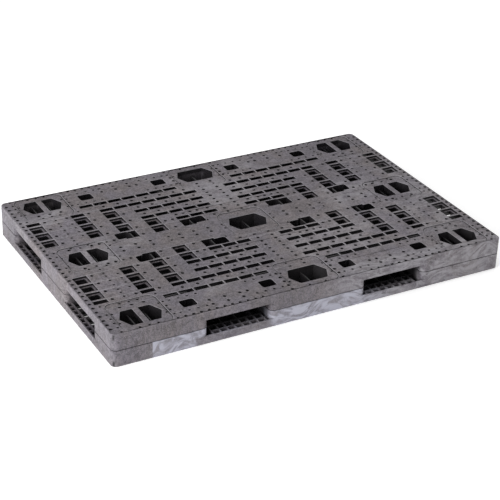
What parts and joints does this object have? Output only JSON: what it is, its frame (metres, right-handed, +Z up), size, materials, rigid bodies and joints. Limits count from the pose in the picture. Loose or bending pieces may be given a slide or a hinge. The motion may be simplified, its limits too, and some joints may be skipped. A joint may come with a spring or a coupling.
{
  "type": "plastic pallet",
  "caption": "Reversible plastic pallet with pierced decks on both faces, hollow legs with hexagonal windows, and fork entry from all sides.",
  "frame": {"origin": "middle of the footprint, on the floor", "axes": "+X along the long side, +Y along the short side, +Z up"},
  "size_m": [1.5, 1, 0.12],
  "materials": {
    "upper_moulding": "satin recycled plastic with flow marks",
    "lower_moulding": "satin recycled plastic, marbled",
    "weld": "melted plastic bead"
  },
  "bodies": {
    "root": {"upper_deck_skin": "upper_moulding", "upper_rib_lattice": "upper_moulding", "lower_deck_skin": "lower_moulding", "lower_rib_lattice": "lower_moulding", "upper_leg_front_left": "upper_moulding", "lower_leg_front_left": "lower_moulding", "weld_bead_front_left": "weld", "upper_leg_middle_left": "upper_moulding", "lower_leg_middle_left": "lower_moulding", "weld_bead_middle_left": "weld", "upper_leg_rear_left": "upper_moulding", "lower_leg_rear_left": "lower_moulding", "weld_bead_rear_left": "weld", "upper_leg_front_centre": "upper_moulding", "lower_leg_front_centre": "lower_moulding", "weld_bead_front_centre": "weld", "upper_leg_middle_centre": "upper_moulding", "lower_leg_middle_centre": "lower_moulding", "weld_bead_middle_centre": "weld", "upper_leg_rear_centre": "upper_moulding", "lower_leg_rear_centre": "lower_moulding", "weld_bead_rear_centre": "weld", "upper_leg_front_right": "upper_moulding", "lower_leg_front_right": "lower_moulding", "weld_bead_front_right": "weld", "upper_leg_middle_right": "upper_moulding", "lower_leg_middle_right": "lower_moulding", "weld_bead_middle_right": "weld", "upper_leg_rear_right": "upper_moulding", "lower_leg_rear_right": "lower_moulding", "weld_bead_rear_right": "weld"}
  },
  "joints": []
}
